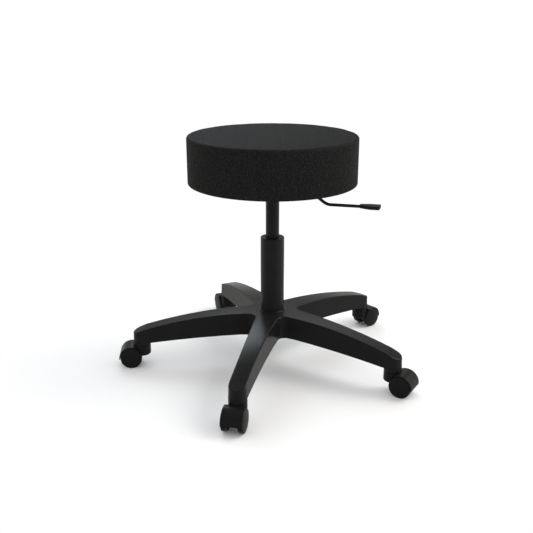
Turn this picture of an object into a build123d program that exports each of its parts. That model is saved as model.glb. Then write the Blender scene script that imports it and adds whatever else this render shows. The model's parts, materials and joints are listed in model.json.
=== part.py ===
from build123d import *
from math import cos, hypot, radians, sin, sqrt
import os

# Adjustable swivel stool, in millimetres. +Z is up, the floor is z = 0, and the
# origin lies on the floor under the column. Arm 1 points along -Y, and the
# height lever points along +X.

# ---- driving dimensions ----

# star base
ARM_COUNT = 5
FIRST_ARM_ANGLE = 270.0
STEM_CIRCLE_R = 291.2      # column axis to caster stem axis
NECK_R = 20.0              # where an arm's sides start, inside the hub
NECK_HALF = 29.2           # half width of an arm there
BOSS_R = 18.5              # round end of an arm, and the caster's collar
SIDE_DRAFT = 2.0           # each side leans in by this up to the hub top
HUB_CORNER_R = 15.0        # fillet between two arms
HUB_HEIGHT = 73.5          # hub top above the boss underside
CROWN_R = 35.0             # the flat middle of the top ends here
ARM_DROP = 33.6            # fall of the top from the hub to the crease
CREASE_BACK = 10.2         # crease, inboard of the stem axis
CREASE_R = 40.0            # how softly the top bends there
TIP_DROP = 11.5            # fall of the top from the crease to the tip
ROOT_DEPTH = 49.7          # hub top down to the arm's lower edge at the hub
EDGE_START_R = 75.0        # the lower edge starts here
EDGE_RISE = 7.7            # lower edge above the boss underside, at the boss
EDGE_BOW = 1.3             # upward bow of the lower edge
ARM_WALL = 3.5
TOP_WALL = 4.0
TOP_EDGE_R = 2.0
RIB_T = 2.5
RIB_PITCH = 42.0
HUB_TUBE_WALL = 8.0
HUB_TUBE_DEPTH = 54.0      # hub top down to the end of the hub tube
STEM_BOSS_WALL = 4.5

# gas lift
TUBE_R = 25.6              # outer tube
TUBE_WALL = 2.0
TUBE_TAPER = 0.8           # loss of radius over the tapered foot
TUBE_ABOVE_HUB = 167.5
TUBE_BELOW_HUB = 58.0      # hub top down to the tube's end
LIP_CLEAR = 3.0            # the turned-in top, clear of the cylinder
TUBE_EDGE_R = 1.6
HUB_RING_WIDTH = 3.0
HUB_RING_SUNK = 3.0
HUB_RING_PROUD = 2.0
BUSH_LENGTH = 84.5
CYLINDER_R = 14.4
CYLINDER_WALL = 1.5
CYLINDER_LIP = 2.0         # closed lower end
ROD_CLEAR = 2.0            # hole in it round the rod
VALVE_STEP = 1.0           # shoulder that the valve sits on
CYLINDER_TAPER = 0.03      # loss of radius per millimetre of the top cone
CONE_LENGTH = 24.0
PRESSURE_TUBE_R = 11.0
PRESSURE_TUBE_WALL = 1.0
ROD_R = 4.0
CLIP_T = 1.6
CLIP_BELOW = 0.4           # tube's end down to the clip
CLIP_GROOVE = 0.9
CLIP_REACH = 3.5
ROD_TAIL = 2.5             # rod below the clip
ROD_NUT_STEP = 2.0
ROD_NUT_T = 4.0
SHOULDER_R = 6.5
SHOULDER_T = 4.0
PISTON_T = 10.0
FOOT_T = 4.0
FOOT_CLEAR = 1.0           # round the rod
WASHER_T = 2.0
UPPER_WASHER_T = 2.1
BALL_R = 2.4
BALL_COUNT = 10
BALL_CIRCLE_R = 11.0
CAGE_T = 2.3
CAGE_HALF = 3.5
WASHER_HALF = 5.0
BUMP_T = 12.0
BUMP_R = 11.0
LIFT_DOWN = 80.0           # travel below the rest height
LIFT_UP = 40.0             # travel above it
STOP_GAP = 3.0             # what is left at the lower stop
RUNNING = 0.05             # radial clearance of a shaft that turns or slides

# mechanism
SOCKET_WALL = 5.0
SOCKET_LENGTH = 21.5
CHANNEL_DEPTH = 28.4
CHANNEL_HALF = 28.0
CHANNEL_BACK = 45.0
CHANNEL_FRONT = 64.0
SHEET_T = 2.5              # pressed steel
PLATE_SIZE = 150.0
PLATE_CORNER_R = 14.0
BOLT_PITCH = 120.0
BOLT_R = 3.0
BOLT_HEAD_FLAT = 10.0
BOLT_HEAD_T = 4.0
WASHER_R = 7.0
BOLT_WASHER_T = 1.2
TEE_FLANGE_R = 9.0
TEE_FLANGE_T = 1.5
TEE_BARREL_R = 4.0
TEE_BARREL_LENGTH = 9.0
LEVER_R = 3.3
LEVER_BELOW_PLATE = 5.5    # plate underside down to the lever's axis
LEVER_TAIL = 5.0           # the lever runs past the button by this
LEVER_SLOPE_START = 68.3
LEVER_OUTER_DROP = 35.8    # from the inner to the outer straight
LEVER_SLOPE = 0.74         # fall per millimetre outward
LEVER_BEND_IN = 14.0
LEVER_BEND_OUT = 25.0
GRIP_START = 185.5
GRIP_END = 228.5
GRIP_T = 7.5
GRIP_NECK_HALF = 5.2
GRIP_FAR_HALF = 9.5
GRIP_NEAR_HALF = 14.0
GRIP_FLARE = 20.0
GRIP_RAISE = 0.8
GRIP_SLANT = 1.5           # near corner short of the far one
GRIP_CORNER_R = 3.0
GRIP_EDGE_R = 1.4
GRIP_HOLD = 12.0           # rod's end short of the grip's
PIVOT_X = 50.0
PIVOT_R = 2.5
PIN_HEAD_T = 2.0
PIN_HEAD_STEP = 2.0
PIVOT_BELOW_LEVER = 8.4
FULCRUM_HALF_X = 7.0
FULCRUM_HALF_Y = 6.0
FULCRUM_COVER = 3.9
FULCRUM_UNDER = 2.0
BUTTON_R = 3.0
BUTTON_DOME = 1.2
BUTTON_FLAT_R = 0.6        # flat middle of the dome
BUTTON_GAP = 0.4
BUTTON_BELOW = 14.0        # length of the button inside the valve
BUTTON_TRAVEL = 4.5
BUTTON_FLOOR = 1.5         # bore left under a pressed button
BUTTON_SPARE = 1.6         # from a fully pressed lever down to the cylinder

# seat
SEAT_R = 178.2
SEAT_HEIGHT = 97.8         # turned-under edge to top
SEAT_EDGE_R = 5.0
COVER_T = 1.5
TOP_PANEL_DROP = 6.2       # the top panel turns down by this at the rim
BAND_TURN_UNDER = 37.0
BOARD_T = 14.0
DUST_T = 0.6
DUST_MARGIN = 12.0

# casters
WHEEL_R = 23.5
WHEEL_INNER = 11.2
WHEEL_OUTER = 21.8
WHEEL_DOME = 2.5
WHEEL_FLAT_R = 4.0         # flat middle of the dome
WHEEL_RIM = 2.8
WHEEL_DISC = 2.2
WHEEL_HUB_R = 7.0
WHEEL_EDGE_R = 1.2
WHEEL_SPOKES = 6
SPOKE_T = 1.6
SPOKE_SET_IN = 2.0
TRAIL = 24.2               # stem axis to wheel axis
HOUSING_RISE = 26.0        # wheel axis to the collar's top
COLLAR_LENGTH = 23.0
COLLAR_EDGE_R = 3.5
HOOD_GAP = 0.9             # wheel tread to hood
HOOD_T = 2.0
HOOD_HALF = 21.8
HOOD_LOW_ANGLE = -4.0      # degrees from the outward direction
HOOD_HIGH_ANGLE = 118.0
WEB_HALF = 10.8
WEB_R = 16.0
WEB_LOW_ANGLE = 20.0
AXLE_R = 3.0
AXLE_HALF = 18.5
CASTER_GAP = 1.0           # collar top to boss underside
STEM_R = 5.5
STEM_CHAMFER = 1.0
STEM_IN_BOSS = 22.0
STEM_FLANGE_R = 7.0
STEM_FLANGE_T = 0.5
STEM_LOWER_R = 5.0
STEM_LOWER_LENGTH = 16.5
STEM_NECK_R = 4.7
STEM_FLOOR = 1.0           # room under the stem's lower end
GRIP_RING_T = 4.0
GRIP_RING_FROM_TOP = 3.0
GRIP_RING_SPLIT = 1.5
SOCKET_CLEAR = 0.2         # stem socket, wider than the stem
SOCKET_HEADROOM = 1.0

# making
OVERCUT = 1.0              # how far a cutting shape runs past what it cuts
SINK = 0.5                 # how far joined shapes run into each other
NEAR = 0.2                 # tolerance when an edge is looked up by its place

# ---- heights worked out from them ----

AXLE_Z = WHEEL_R
COLLAR_TOP = AXLE_Z + HOUSING_RISE
BOSS_Z = COLLAR_TOP + CASTER_GAP
HUB_TOP = BOSS_Z + HUB_HEIGHT
TUBE_TOP = HUB_TOP + TUBE_ABOVE_HUB
TUBE_BOTTOM = HUB_TOP - TUBE_BELOW_HUB
TAPER_TOP = HUB_TOP - HUB_RING_SUNK
TUBE_INNER_R = TUBE_R - TUBE_WALL
TUBE_LIP_R = CYLINDER_R + LIP_CLEAR
HUB_RING_R = TUBE_R + HUB_RING_WIDTH
SOCKET_R = CYLINDER_R + SOCKET_WALL
TIP_R = STEM_CIRCLE_R + BOSS_R
FOOT_TOP = TUBE_BOTTOM + FOOT_T
BALL_Z = FOOT_TOP + WASHER_T + RUNNING + BALL_R
UPPER_WASHER_Z = BALL_Z + BALL_R + RUNNING
SHOULDER_Z = UPPER_WASHER_Z + UPPER_WASHER_T
BUMP_Z = SHOULDER_Z + SHOULDER_T
CYLINDER_BOTTOM = BUMP_Z + BUMP_T + STOP_GAP + LIFT_DOWN
SOCKET_Z = TUBE_TOP + LIFT_DOWN + STOP_GAP
CYLINDER_TOP = SOCKET_Z + SOCKET_LENGTH
CONE_Z = CYLINDER_TOP - CONE_LENGTH
LEVER_Z = CYLINDER_TOP + BUTTON_TRAVEL + BUTTON_SPARE + LEVER_R
PLATE_Z = LEVER_Z + LEVER_BELOW_PLATE
CHANNEL_Z = PLATE_Z - CHANNEL_DEPTH
BOARD_Z = PLATE_Z + SHEET_T + DUST_T
SEAT_Z = BOARD_Z - COVER_T
SEAT_TOP = SEAT_Z + SEAT_HEIGHT
FOAM_Z = BOARD_Z + BOARD_T
PIVOT_Z = LEVER_Z - PIVOT_BELOW_LEVER
GUIDE_TOP = CYLINDER_BOTTOM + 14.0
SEAL_TOP = GUIDE_TOP + 4.0
PISTON_Z = SEAL_TOP + LIFT_UP + 2.0
VALVE_Z = CONE_Z - 6.0
HOOD_IN = WHEEL_R + HOOD_GAP
HOOD_OUT = HOOD_IN + HOOD_T


# ---- helpers ----

def turned(*points):
    """A solid turned about Z from a closed outline of (radius, z) points."""
    outline = make_face(Polyline(*points, close=True))
    return revolve(Plane.XZ * outline, Axis.Z)


def ring(inner, outer, low, high):
    """A plain ring or, with an inner radius of 0, a disc."""
    return turned((inner, low), (outer, low), (outer, high), (inner, high))


def block(x_low, x_high, y_low, y_high, z_low, z_high):
    """A box given by its faces."""
    middle = Pos((x_low + x_high) / 2, (y_low + y_high) / 2, (z_low + z_high) / 2)
    return middle * Box(x_high - x_low, y_high - y_low, z_high - z_low)


def rod_along_y(radius, x, z, half):
    """A round bar along Y, centred on y = 0."""
    return Pos(x, 0, z) * Rot(X=90) * Cylinder(radius, 2 * half)


def arm_angle(number):
    """Direction of arm 1, 2, ... in degrees."""
    return FIRST_ARM_ANGLE + (number - 1) * 360.0 / ARM_COUNT


def at_stem(number, shape):
    """Place a shape drawn about a stem axis, with +X outward, on its arm."""
    return Rot(Z=arm_angle(number)) * Pos(STEM_CIRCLE_R, 0, 0) * shape


def save(node, shape):
    """Write one node."""
    shape.label = node
    export_step(shape, os.path.join("parts", node + ".step"))


# ---- star base ----

def crown_arc(depth=0.0):
    """Arc of the top of the arms, from the flat middle to the crease, lowered by depth."""
    end_r = STEM_CIRCLE_R - CREASE_BACK
    run = end_r - CROWN_R
    radius = (run ** 2 + ARM_DROP ** 2) / (2 * ARM_DROP)
    mid_r = CROWN_R + run / 2
    mid_z = HUB_TOP - radius + sqrt(radius ** 2 - (run / 2) ** 2)
    start = (CROWN_R, HUB_TOP - depth)
    middle = (mid_r, mid_z - depth)
    end = (end_r, HUB_TOP - ARM_DROP - depth)
    return ThreePointArc(start, middle, end)


def star_outline(inset=0.0):
    """Plan of the five arms at the height of the boss underside, pulled in all round."""
    neck = (NECK_R, NECK_HALF - inset)
    end = (STEM_CIRCLE_R, BOSS_R - inset)
    side = TangentArc(end, neck, tangent=(-1, 0))
    other = mirror(side, Plane.XZ)
    tip = ThreePointArc(end, (TIP_R - inset, 0), (end[0], -end[1]))
    root = Polyline((neck[0], -neck[1]), (0, -neck[1]), (0, neck[1]), neck)
    arm = make_face(Curve() + [side, tip, other, root])
    plan = Circle(NECK_R)
    for number in range(1, ARM_COUNT + 1):
        plan += Rot(Z=arm_angle(number)) * arm
    corners = [v for v in plan.vertices() if hypot(v.X, v.Y) < 2 * NECK_HALF]
    return fillet(corners, HUB_CORNER_R + inset)


def arm_body():
    """What lies between the top surface and the lower edges of the arms."""
    crown = crown_arc()
    crease = crown @ 1
    reach = TIP_R + OVERCUT
    tip_z = crease.Y - TIP_DROP * (reach - crease.X) / (TIP_R - crease.X)
    root_z = HUB_TOP - ROOT_DEPTH
    boss_in = STEM_CIRCLE_R - BOSS_R
    edge_z = BOSS_Z + EDGE_RISE
    edge_mid = ((EDGE_START_R + boss_in) / 2, (root_z + edge_z) / 2 + EDGE_BOW)
    under = ThreePointArc((boss_in, edge_z), edge_mid, (EDGE_START_R, root_z))
    top = Polyline((0, HUB_TOP), (CROWN_R, HUB_TOP))
    tip = Polyline(crease, (reach, tip_z), (reach, BOSS_Z + EDGE_RISE / 2), (boss_in, edge_z))
    root = Polyline((EDGE_START_R, root_z), (0, root_z), (0, HUB_TOP))
    outline = make_face(Curve() + [top, crown, tip, under, root])
    outline = fillet(outline.vertices().sort_by_distance(crease)[0], CREASE_R)
    return revolve(Plane.XZ * outline, Axis.Z)


def hollow_body():
    """The space under the top skin, open below."""
    crown = crown_arc(TOP_WALL)
    crease = crown @ 1
    reach = TIP_R + OVERCUT
    tip_z = crease.Y - TIP_DROP * (reach - crease.X) / (TIP_R - crease.X)
    low = BOSS_Z - OVERCUT
    top = Polyline((0, HUB_TOP - TOP_WALL), (CROWN_R, HUB_TOP - TOP_WALL))
    rest = Polyline(crease, (reach, tip_z), (reach, low), (0, low), (0, HUB_TOP - TOP_WALL))
    outline = make_face(Curve() + [top, crown, rest])
    return revolve(Plane.XZ * outline, Axis.Z)


def drafted_star(inset, low):
    """The star's plan drawn up to just above the hub top, with leaning sides."""
    high = HUB_TOP + OVERCUT
    lean = SIDE_DRAFT * (high - low) / (HUB_TOP - BOSS_Z)
    bottom = Pos(0, 0, low) * star_outline(inset)
    top = Pos(0, 0, high) * star_outline(inset + lean)
    return loft([bottom.face(), top.face()], ruled=True)


def stem_boss():
    """The round boss under one arm's end, about the stem axis."""
    return Pos(0, 0, BOSS_Z) * Cylinder(BOSS_R, EDGE_RISE + 2, align=(Align.CENTER, Align.CENTER, Align.MIN))


def top_edges(star):
    """The edges where the sides meet the top surface."""
    crown = crown_arc()
    centre = crown.arc_center
    radius = crown.radius
    crease = crown @ 1
    found = []
    for edge in star.edges():
        point = edge @ 0.5
        r = hypot(point.X, point.Y)
        if r < CROWN_R + NEAR or edge.geom_type == GeomType.CIRCLE:
            continue
        if r < crease.X:
            height = centre.Y + sqrt(radius ** 2 - (r - centre.X) ** 2)
        else:
            height = crease.Y - TIP_DROP * (r - crease.X) / (TIP_R - crease.X)
        if abs(point.Z - height) < NEAR:
            found.append(edge)
    return found


def star_base():
    """Ribbed five-arm moulding with a tapered hub and five stem sockets."""
    star = drafted_star(0, BOSS_Z) & arm_body()
    star = fillet(top_edges(star), TOP_EDGE_R)

    hollow = drafted_star(ARM_WALL, BOSS_Z - OVERCUT) & hollow_body()
    hollow -= ring(0, TUBE_R + HUB_TUBE_WALL, BOSS_Z - 2 * OVERCUT, HUB_TOP)
    socket_r = STEM_R + SOCKET_CLEAR
    boss_core = Cylinder(socket_r + STEM_BOSS_WALL, 4 * HUB_HEIGHT)
    first_rib = TUBE_R + HUB_TUBE_WALL + RIB_PITCH
    rib_places = []
    place = first_rib
    while place < STEM_CIRCLE_R - BOSS_R:
        rib_places.append(place)
        place += RIB_PITCH
    for number in range(1, ARM_COUNT + 1):
        turn = Rot(Z=arm_angle(number))
        spine = block(TUBE_R, STEM_CIRCLE_R, -RIB_T / 2, RIB_T / 2, BOSS_Z + EDGE_RISE, HUB_TOP)
        hollow -= turn * spine
        hollow -= at_stem(number, boss_core)
        for rib_r in rib_places:
            rib = block(rib_r, rib_r + RIB_T, -NECK_HALF, NECK_HALF, BOSS_Z + EDGE_RISE, HUB_TOP)
            hollow -= turn * rib
    star -= hollow
    hub_tube = ring(0, TUBE_R + HUB_TUBE_WALL, HUB_TOP - HUB_TUBE_DEPTH, HUB_TOP - TOP_WALL)
    star += hub_tube
    for number in range(1, ARM_COUNT + 1):
        star += at_stem(number, stem_boss())
    stem_top = BOSS_Z + STEM_IN_BOSS + SOCKET_HEADROOM
    stem_socket = ring(0, socket_r, BOSS_Z - OVERCUT, stem_top)
    for number in range(1, ARM_COUNT + 1):
        star -= at_stem(number, stem_socket)
    foot_r = TUBE_R - TUBE_TAPER
    taper_bore = turned((0, TUBE_BOTTOM), (foot_r, TUBE_BOTTOM), (TUBE_R, TAPER_TOP), (0, TAPER_TOP))
    star -= taper_bore
    star -= ring(0, HUB_RING_R, TAPER_TOP, HUB_TOP + OVERCUT)
    return star


def hub_ring():
    """Steel ring let into the hub round the tube."""
    body = ring(TUBE_R, HUB_RING_R, TAPER_TOP, HUB_TOP + HUB_RING_PROUD)
    rim = body.edges().filter_by(GeomType.CIRCLE).group_by(Axis.Z)[-1]
    outer_rim = rim.sort_by(SortBy.RADIUS)[-1]
    return fillet(outer_rim, HUB_RING_PROUD / 2)


# ---- gas lift ----

def column_tube():
    """Outer tube with a tapered foot and a turned-in top."""
    body = turned(
        (TUBE_INNER_R, TUBE_BOTTOM),
        (TUBE_R - TUBE_TAPER, TUBE_BOTTOM),
        (TUBE_R, TAPER_TOP),
        (TUBE_R, TUBE_TOP),
        (TUBE_LIP_R, TUBE_TOP),
        (TUBE_LIP_R, TUBE_TOP - TUBE_WALL),
        (TUBE_INNER_R, TUBE_TOP - TUBE_WALL),
    )
    rim = body.edges().filter_by(GeomType.CIRCLE).group_by(Axis.Z)[-1]
    outer_rim = rim.sort_by(SortBy.RADIUS)[-1]
    return fillet(outer_rim, TUBE_EDGE_R)


def guide_bush():
    """Plastic bush that the cylinder slides and turns in."""
    bore = CYLINDER_R + RUNNING
    shelf = TUBE_TOP - TUBE_WALL
    low = shelf - BUSH_LENGTH
    return turned(
        (bore, low),
        (TUBE_INNER_R, low),
        (TUBE_INNER_R, shelf),
        (TUBE_LIP_R, shelf),
        (TUBE_LIP_R, TUBE_TOP - TUBE_WALL / 4),
        (bore, TUBE_TOP - TUBE_WALL / 4),
    )


def column_foot():
    """Disc that closes the tube below and carries the bearing."""
    return ring(ROD_R + FOOT_CLEAR, TUBE_INNER_R, TUBE_BOTTOM, FOOT_TOP)


def thrust_washer_lower():
    """Lower race."""
    return ring(BALL_CIRCLE_R - WASHER_HALF, BALL_CIRCLE_R + WASHER_HALF, FOOT_TOP, FOOT_TOP + WASHER_T)


def thrust_washer_upper():
    """Upper race, under the rod's shoulder."""
    return ring(ROD_R, BALL_CIRCLE_R + WASHER_HALF, UPPER_WASHER_Z, SHOULDER_Z)


def ball_places():
    """Centres of the balls."""
    return PolarLocations(BALL_CIRCLE_R, BALL_COUNT)


def bearing_balls():
    """The ring of balls, each its own solid."""
    return Compound(children=[place * Pos(0, 0, BALL_Z) * Sphere(BALL_R) for place in ball_places()])


def ball_cage():
    """Flat cage that spaces the balls."""
    low = BALL_Z - CAGE_T / 2
    cage = ring(BALL_CIRCLE_R - CAGE_HALF, BALL_CIRCLE_R + CAGE_HALF, low, low + CAGE_T)
    for place in ball_places():
        cage -= place * Pos(0, 0, BALL_Z) * Cylinder(BALL_R + RUNNING, 2 * CAGE_T)
    return cage


def piston_rod():
    """Rod that hangs in the bearing and carries the piston."""
    groove_top = TUBE_BOTTOM - CLIP_BELOW
    groove_low = groove_top - CLIP_T
    end = groove_low - ROD_TAIL
    nut_z = PISTON_Z + PISTON_T
    return turned(
        (0, end),
        (ROD_R, end),
        (ROD_R, groove_low),
        (ROD_R - CLIP_GROOVE, groove_low),
        (ROD_R - CLIP_GROOVE, groove_top),
        (ROD_R, groove_top),
        (ROD_R, SHOULDER_Z),
        (SHOULDER_R, SHOULDER_Z),
        (SHOULDER_R, SHOULDER_Z + SHOULDER_T),
        (ROD_R, SHOULDER_Z + SHOULDER_T),
        (ROD_R, nut_z),
        (ROD_R + ROD_NUT_STEP, nut_z),
        (ROD_R + ROD_NUT_STEP, nut_z + ROD_NUT_T),
        (0, nut_z + ROD_NUT_T),
    )


def piston_head():
    """Piston in the pressure tube."""
    bore = PRESSURE_TUBE_R - PRESSURE_TUBE_WALL
    return ring(ROD_R, bore - RUNNING, PISTON_Z, PISTON_Z + PISTON_T)


def retaining_clip():
    """Open clip in the rod's groove, under the foot."""
    top = TUBE_BOTTOM - CLIP_BELOW
    outer = ROD_R + CLIP_REACH
    clip = ring(ROD_R - CLIP_GROOVE, outer, top - CLIP_T, top)
    return clip - block(0, outer + OVERCUT, -ROD_R / 2, ROD_R / 2, top - CLIP_T - OVERCUT, top + OVERCUT)


def bump_stop():
    """Rubber stop that the cylinder comes down on."""
    return ring(ROD_R, BUMP_R, BUMP_Z, BUMP_Z + BUMP_T)


def cone_r(z):
    """Outer radius of the cylinder's top cone at height z."""
    return CYLINDER_R - CYLINDER_TAPER * (z - CONE_Z)


def gas_cylinder():
    """Pressure cylinder with a tapered top."""
    bore = CYLINDER_R - CYLINDER_WALL
    valve_r = bore - VALVE_STEP
    lip_top = CYLINDER_BOTTOM + CYLINDER_LIP
    return turned(
        (ROD_R + ROD_CLEAR, CYLINDER_BOTTOM),
        (CYLINDER_R, CYLINDER_BOTTOM),
        (CYLINDER_R, CONE_Z),
        (cone_r(CYLINDER_TOP), CYLINDER_TOP),
        (valve_r, CYLINDER_TOP),
        (valve_r, VALVE_Z),
        (bore, VALVE_Z),
        (bore, lip_top),
        (ROD_R + ROD_CLEAR, lip_top),
    )


def rod_guide():
    """Lower plug of the cylinder, which the rod runs through."""
    return ring(ROD_R + RUNNING, CYLINDER_R - CYLINDER_WALL, CYLINDER_BOTTOM + CYLINDER_LIP, GUIDE_TOP)


def rod_seal():
    """Rubber seal on top of the guide."""
    return ring(ROD_R + RUNNING, CYLINDER_R - CYLINDER_WALL, GUIDE_TOP, SEAL_TOP)


def pressure_tube():
    """Inner tube that the piston slides in."""
    return ring(PRESSURE_TUBE_R - PRESSURE_TUBE_WALL, PRESSURE_TUBE_R, SEAL_TOP, VALVE_Z)


def valve_body():
    """Brass plug in the cylinder's top, with a blind bore for the button."""
    valve_r = CYLINDER_R - CYLINDER_WALL - VALVE_STEP
    bore = BUTTON_R + RUNNING
    bore_z = CYLINDER_TOP - BUTTON_BELOW - BUTTON_TRAVEL - BUTTON_FLOOR
    return turned(
        (0, VALVE_Z),
        (valve_r, VALVE_Z),
        (valve_r, CYLINDER_TOP),
        (bore, CYLINDER_TOP),
        (bore, bore_z),
        (0, bore_z),
    )


def release_button():
    """Pin that the lever pushes down to free the lift."""
    top = LEVER_Z - LEVER_R - BUTTON_GAP
    crown = TangentArc((BUTTON_FLAT_R, top), (BUTTON_R, top - BUTTON_DOME), tangent=(1, 0))
    stem = Polyline(
        (BUTTON_FLAT_R, top),
        (0, top),
        (0, CYLINDER_TOP - BUTTON_BELOW),
        (BUTTON_R, CYLINDER_TOP - BUTTON_BELOW),
        (BUTTON_R, top - BUTTON_DOME),
    )
    return revolve(Plane.XZ * make_face(Curve() + [crown, stem]), Axis.Z)


# ---- mechanism ----

def taper_socket():
    """Turned socket that the cylinder's cone wedges into."""
    return turned(
        (cone_r(SOCKET_Z), SOCKET_Z),
        (SOCKET_R, SOCKET_Z),
        (SOCKET_R, CYLINDER_TOP),
        (cone_r(CYLINDER_TOP), CYLINDER_TOP),
    )


def bolt_places():
    """The four bolts of the mounting plate."""
    return GridLocations(BOLT_PITCH, BOLT_PITCH, 2, 2)


def mounting_plate():
    """Pressed steel plate under the board."""
    outline = RectangleRounded(PLATE_SIZE, PLATE_SIZE, PLATE_CORNER_R)
    plate = Pos(0, 0, PLATE_Z) * extrude(outline, amount=SHEET_T)
    for place in bolt_places():
        plate -= place * ring(0, BOLT_R, PLATE_Z - OVERCUT, PLATE_Z + SHEET_T + OVERCUT)
    return plate


def mechanism_channel():
    """Folded channel welded under the plate, open towards the lever."""
    outer = block(-CHANNEL_BACK, CHANNEL_FRONT, -CHANNEL_HALF, CHANNEL_HALF, CHANNEL_Z, PLATE_Z)
    outer = fillet(outer.edges().filter_by(Axis.X).group_by(Axis.Z)[0], 2 * SHEET_T)
    inner_half = CHANNEL_HALF - SHEET_T
    inner = block(SHEET_T - CHANNEL_BACK, CHANNEL_FRONT + OVERCUT, -inner_half, inner_half,
                  CHANNEL_Z + SHEET_T, PLATE_Z + OVERCUT)
    inner = fillet(inner.edges().filter_by(Axis.X).group_by(Axis.Z)[0], SHEET_T)
    channel = outer - inner
    channel -= ring(0, SOCKET_R, CHANNEL_Z - OVERCUT, CHANNEL_Z + SHEET_T + OVERCUT)
    return channel - rod_along_y(PIVOT_R, PIVOT_X, PIVOT_Z, 2 * CHANNEL_HALF)


def lever_pivot_pin():
    """Pin across the channel."""
    pin = rod_along_y(PIVOT_R, PIVOT_X, PIVOT_Z, CHANNEL_HALF + PIN_HEAD_T)
    head = rod_along_y(PIVOT_R + PIN_HEAD_STEP, PIVOT_X, PIVOT_Z, PIN_HEAD_T / 2)
    head = Pos(0, -CHANNEL_HALF - PIN_HEAD_T / 2, 0) * head
    return pin + head


def lever_rod():
    """Bent round rod from the button to the grip."""
    slope_run = LEVER_OUTER_DROP / LEVER_SLOPE
    low_z = LEVER_Z - LEVER_OUTER_DROP
    path = FilletPolyline(
        (-LEVER_TAIL, 0, LEVER_Z),
        (LEVER_SLOPE_START, 0, LEVER_Z),
        (LEVER_SLOPE_START + slope_run, 0, low_z),
        (GRIP_END - GRIP_HOLD, 0, low_z),
        radius=[LEVER_BEND_IN, LEVER_BEND_OUT],
    )
    section = Plane(origin=path @ 0, z_dir=path % 0) * Circle(LEVER_R)
    return sweep(section, path=path)


def lever_fulcrum():
    """Block on the rod that turns on the pivot pin."""
    low = PIVOT_Z - PIVOT_R - FULCRUM_UNDER
    high = LEVER_Z + FULCRUM_COVER
    back = PIVOT_X - FULCRUM_HALF_X
    front = PIVOT_X + FULCRUM_HALF_X
    body = block(back, front, -FULCRUM_HALF_Y, FULCRUM_HALF_Y, low, high)
    body -= rod_along_y(PIVOT_R + RUNNING, PIVOT_X, PIVOT_Z, 2 * FULCRUM_HALF_Y)
    return body - Pos(PIVOT_X, 0, LEVER_Z) * Rot(Y=90) * Cylinder(LEVER_R, 4 * FULCRUM_HALF_X)


def lever_grip():
    """Flat flared grip pressed on the rod's end."""
    low_z = LEVER_Z - LEVER_OUTER_DROP
    flare = GRIP_START + GRIP_FLARE
    outline = make_face(Polyline(
        (GRIP_START, -GRIP_NECK_HALF),
        (flare, -GRIP_NEAR_HALF),
        (GRIP_END - GRIP_SLANT, -GRIP_NEAR_HALF),
        (GRIP_END, GRIP_FAR_HALF),
        (flare, GRIP_FAR_HALF),
        (GRIP_START, GRIP_NECK_HALF),
        close=True,
    ))
    ends = [v for v in outline.vertices() if v.X > flare + NEAR]
    outline = fillet(ends, GRIP_CORNER_R)
    middle = low_z + GRIP_RAISE
    grip = Pos(0, 0, middle - GRIP_T / 2) * extrude(outline, amount=GRIP_T)
    levels = grip.edges().group_by(Axis.Z)
    grip = fillet(levels[-1] + levels[0], GRIP_EDGE_R)
    rod_end = GRIP_END - GRIP_HOLD
    hole = Pos(rod_end - GRIP_END / 2, 0, low_z) * Rot(Y=90) * Cylinder(LEVER_R, GRIP_END)
    return grip - hole


def plate_bolts():
    """Four hexagon bolts, heads below."""
    head_z = PLATE_Z - BOLT_WASHER_T - BOLT_HEAD_T
    head = Pos(0, 0, head_z) * extrude(RegularPolygon(BOLT_HEAD_FLAT / 2, 6, major_radius=False),
                                       amount=BOLT_HEAD_T)
    shank = ring(0, BOLT_R, head_z + BOLT_HEAD_T, FOAM_Z - TEE_FLANGE_T)
    return Compound(children=[place * (head + shank) for place in bolt_places()])


def plate_washers():
    """Four washers between the bolt heads and the plate."""
    washer = ring(BOLT_R, WASHER_R, PLATE_Z - BOLT_WASHER_T, PLATE_Z)
    return Compound(children=[place * washer for place in bolt_places()])


def tee_nut(clear_bore):
    """One tee nut, or with no bore the recess that it fills."""
    bore = BOLT_R if clear_bore else 0
    flange_z = FOAM_Z - TEE_FLANGE_T
    barrel_z = FOAM_Z - TEE_BARREL_LENGTH
    return turned(
        (bore, barrel_z),
        (TEE_BARREL_R, barrel_z),
        (TEE_BARREL_R, flange_z),
        (TEE_FLANGE_R, flange_z),
        (TEE_FLANGE_R, FOAM_Z),
        (bore, FOAM_Z),
    )


def tee_nuts():
    """Four tee nuts let into the board's top."""
    return Compound(children=[place * tee_nut(True) for place in bolt_places()])


# ---- seat ----

def seat_board():
    """Round plywood board."""
    board = ring(0, SEAT_R - COVER_T, BOARD_Z, FOAM_Z)
    for place in bolt_places():
        board -= place * tee_nut(False)
        board -= place * ring(0, BOLT_R, BOARD_Z - OVERCUT, FOAM_Z)
    return board


def seat_foam():
    """Round block of foam with a rounded upper edge."""
    foam = ring(0, SEAT_R - COVER_T, FOAM_Z, SEAT_TOP - COVER_T)
    rim = foam.edges().filter_by(GeomType.CIRCLE).group_by(Axis.Z)[-1]
    return fillet(rim, SEAT_EDGE_R - COVER_T)


def cover_shell():
    """Whole leatherette cover before it is split at the seam."""
    shell = ring(0, SEAT_R, SEAT_Z, SEAT_TOP)
    rim = shell.edges().filter_by(GeomType.CIRCLE).group_by(Axis.Z)[-1]
    shell = fillet(rim, SEAT_EDGE_R)
    shell -= ring(0, SEAT_R - COVER_T, BOARD_Z, FOAM_Z)
    shell -= seat_foam()
    return shell - ring(0, SEAT_R - BAND_TURN_UNDER, SEAT_Z - OVERCUT, BOARD_Z)


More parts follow.
